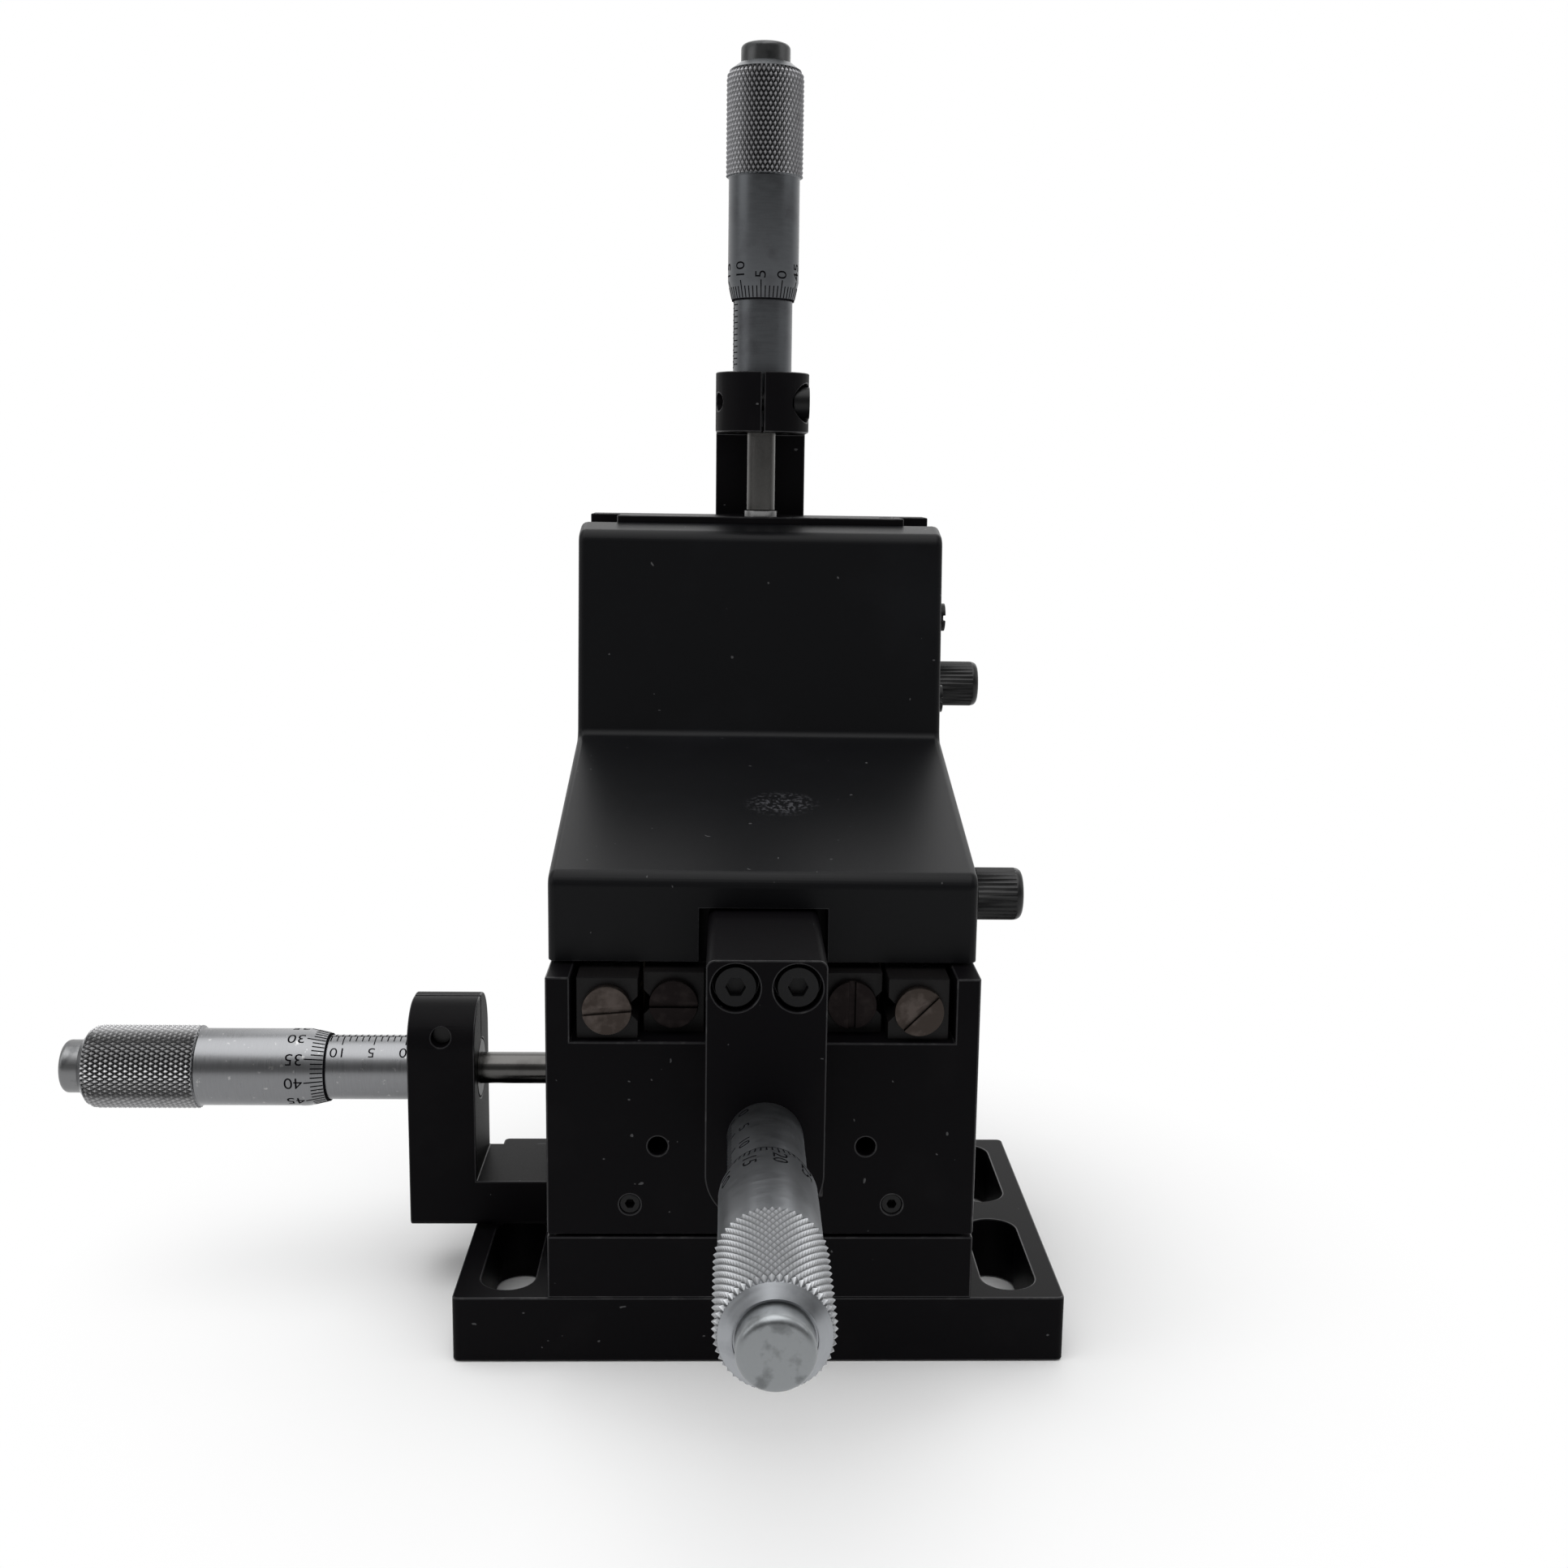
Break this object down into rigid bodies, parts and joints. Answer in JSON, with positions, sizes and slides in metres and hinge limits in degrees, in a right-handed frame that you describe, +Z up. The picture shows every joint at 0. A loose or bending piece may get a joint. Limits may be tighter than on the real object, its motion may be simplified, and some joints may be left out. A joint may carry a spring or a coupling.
{
  "type": "five-axis optical mount",
  "caption": "Bench positioner with stacked crossed-roller slides under micrometer heads, fine yaw and roll screws, a bent cover, an upright load plate and a slotted base.",
  "frame": {"origin": "centre of the base plate's underside", "axes": "+X to the right seen from the front, +Y to the rear where the load plate faces, +Z up"},
  "size_m": [0.1555, 0.1675, 0.2002],
  "materials": {
    "black_anodised": "matte black anodised",
    "black_cover": "satin black anodised sheet",
    "ground_steel": "ground",
    "dark_rail_steel": "ground, blackened",
    "black_oxide_steel": "black oxide",
    "bronzed_steel": "dark bronzed",
    "bright_steel": "polished",
    "satin_chrome": "satin chrome with black marks",
    "spring_steel": "bright wire",
    "brass": "turned",
    "cage_brass": "stamped strip with steel rollers",
    "white_washer": "slippery white plastic",
    "black_knob": "black oxide, knurled"
  },
  "bodies": {
    "base": {"base_plate": "black_anodised", "base_screws": "black_oxide_steel", "x_fixed_plate": "black_anodised", "x_fixed_rails": "ground_steel", "x_fixed_rail_bolts": "black_oxide_steel", "x_bracket": "black_anodised", "x_bracket_screws": "black_oxide_steel", "x_sleeve": "satin_chrome", "x_return_spring": "spring_steel"},
    "x_spindle": {"x_spindle": "bright_steel"},
    "x_thimble": {"x_thimble": "satin_chrome", "x_end_cap": "satin_chrome"},
    "x_cage": {"x_roller_cages": "cage_brass"},
    "x_stage": {"x_carriage_block": "black_anodised", "x_moving_rails": "ground_steel", "y_fixed_rails": "dark_rail_steel", "block_rail_bolts": "black_oxide_steel", "block_end_screws": "bronzed_steel", "block_set_screws": "black_oxide_steel", "block_side_screw": "bright_steel", "x_anvil": "bright_steel", "y_anvil": "bright_steel", "y_return_spring": "spring_steel"},
    "y_cage": {"y_roller_cages": "cage_brass"},
    "y_stage": {"y_carriage": "black_anodised", "y_moving_rails": "dark_rail_steel", "y_moving_rail_bolts": "black_oxide_steel", "y_end_screws": "bronzed_steel", "y_bracket": "black_anodised", "y_bracket_screws": "black_oxide_steel", "y_sleeve": "satin_chrome", "yaw_pivot_pin": "bright_steel", "yaw_washer": "white_washer"},
    "y_spindle": {"y_spindle": "bright_steel"},
    "y_thimble": {"y_thimble": "satin_chrome", "y_end_cap": "satin_chrome"},
    "knee": {"knee": "black_anodised", "cover": "black_cover", "cover_screws": "black_oxide_steel", "roll_pivot_pin": "bright_steel", "roll_washer": "white_washer"},
    "yaw_pad": {"yaw_pad": "brass"},
    "yaw_knob": {"yaw_knob": "black_knob"},
    "roll_pad": {"roll_pad": "brass"},
    "roll_knob": {"roll_knob": "black_knob"},
    "z_column": {"z_column": "black_anodised", "z_anvil": "bright_steel", "z_fixed_rails": "ground_steel", "z_fixed_rail_bolts": "black_oxide_steel"},
    "z_cage": {"z_roller_cages": "cage_brass"},
    "z_stage": {"z_load_plate": "black_anodised", "z_moving_rails": "ground_steel", "z_moving_rail_bolts": "black_oxide_steel", "z_bracket": "black_anodised", "z_bracket_screws": "black_oxide_steel", "z_sleeve": "satin_chrome"},
    "z_spindle": {"z_spindle": "bright_steel"},
    "z_thimble": {"z_thimble": "satin_chrome", "z_end_cap": "satin_chrome"}
  },
  "joints": [
    {"name": "x_stage_slide", "type": "slide", "parent": "base", "child": "x_stage", "axis": [1, 0, 0], "range_m": [-0.0124, 0.0126], "deforming": ["x_return_spring"]},
    {"name": "x_cage_roll", "type": "slide", "parent": "base", "child": "x_cage", "axis": [1, 0, 0], "range_m": [-0.0062, 0.0063]},
    {"name": "x_spindle_feed", "type": "slide", "parent": "base", "child": "x_spindle", "axis": [1, 0, 0], "range_m": [-0.0124, 0.0126]},
    {"name": "x_thimble_turn", "type": "hinge", "parent": "x_spindle", "child": "x_thimble", "pos_m": [-0.0687, 0, 0.03425], "axis": [1, 0, 0], "range_deg": [-8929, 9073]},
    {"name": "y_stage_slide", "type": "slide", "parent": "x_stage", "child": "y_stage", "axis": [0, 1, 0], "range_m": [-0.015, 0.0085], "deforming": ["y_return_spring"]},
    {"name": "y_cage_roll", "type": "slide", "parent": "x_stage", "child": "y_cage", "axis": [0, 1, 0], "range_m": [-0.0075, 0.00425]},
    {"name": "y_spindle_feed", "type": "slide", "parent": "y_stage", "child": "y_spindle", "axis": [0, 1, 0], "range_m": [-0.0085, 0.015]},
    {"name": "y_thimble_turn", "type": "hinge", "parent": "y_spindle", "child": "y_thimble", "pos_m": [0, -0.06675, 0.042], "axis": [0, 1, 0], "range_deg": [-6121, 10801]},
    {"name": "yaw_turn", "type": "hinge", "parent": "y_stage", "child": "knee", "pos_m": [0, 0.005, 0.0704], "axis": [0, 0, 1], "range_deg": [-2, 2]},
    {"name": "yaw_pad_feed", "type": "slide", "parent": "knee", "child": "yaw_pad", "axis": [-1, 0, 0], "range_m": [-0.00056, 0.00056]},
    {"name": "yaw_knob_turn", "type": "hinge", "parent": "yaw_pad", "child": "yaw_knob", "pos_m": [0.036, -0.011, 0.0662], "axis": [-1, 0, 0], "range_deg": [-403, 403]},
    {"name": "roll_turn", "type": "hinge", "parent": "knee", "child": "z_column", "pos_m": [0, 0.0384, 0.076], "axis": [0, 1, 0], "range_deg": [-2, 2]},
    {"name": "roll_pad_feed", "type": "slide", "parent": "knee", "child": "roll_pad", "axis": [-1, 0, 0], "range_m": [-0.00056, 0.00056]},
    {"name": "roll_knob_turn", "type": "hinge", "parent": "roll_pad", "child": "roll_knob", "pos_m": [0.036, 0.045, 0.0918], "axis": [-1, 0, 0], "range_deg": [-403, 403]},
    {"name": "z_stage_slide", "type": "slide", "parent": "z_column", "child": "z_stage", "axis": [0, 0, 1], "range_m": [-0.0123, 0.0115]},
    {"name": "z_cage_roll", "type": "slide", "parent": "z_column", "child": "z_cage", "axis": [0, 0, 1], "range_m": [-0.00615, 0.00575]},
    {"name": "z_spindle_feed", "type": "slide", "parent": "z_stage", "child": "z_spindle", "axis": [0, 0, -1], "range_m": [-0.0123, 0.0115]},
    {"name": "z_thimble_turn", "type": "hinge", "parent": "z_spindle", "child": "z_thimble", "pos_m": [0, 0.0426, 0.1584], "axis": [0, 0, -1], "range_deg": [-8857, 8281]}
  ],
  "couplings": [
    {"joint": "x_spindle_feed", "follows": "x_stage_slide", "ratio": 1},
    {"joint": "x_cage_roll", "follows": "x_stage_slide", "ratio": 0.5},
    {"joint": "x_thimble_turn", "follows": "x_stage_slide", "rad_per_m": 12566},
    {"joint": "y_spindle_feed", "follows": "y_stage_slide", "ratio": -1},
    {"joint": "y_cage_roll", "follows": "y_stage_slide", "ratio": 0.5},
    {"joint": "y_thimble_turn", "follows": "y_stage_slide", "rad_per_m": -12566},
    {"joint": "z_spindle_feed", "follows": "z_stage_slide", "ratio": 1},
    {"joint": "z_cage_roll", "follows": "z_stage_slide", "ratio": 0.5},
    {"joint": "z_thimble_turn", "follows": "z_stage_slide", "rad_per_m": 12566},
    {"joint": "yaw_pad_feed", "follows": "yaw_turn", "m_per_rad": 0.016},
    {"joint": "yaw_knob_turn", "follows": "yaw_turn", "ratio": 201.06},
    {"joint": "roll_pad_feed", "follows": "roll_turn", "m_per_rad": -0.0158},
    {"joint": "roll_knob_turn", "follows": "roll_turn", "ratio": -198.55}
  ]
}
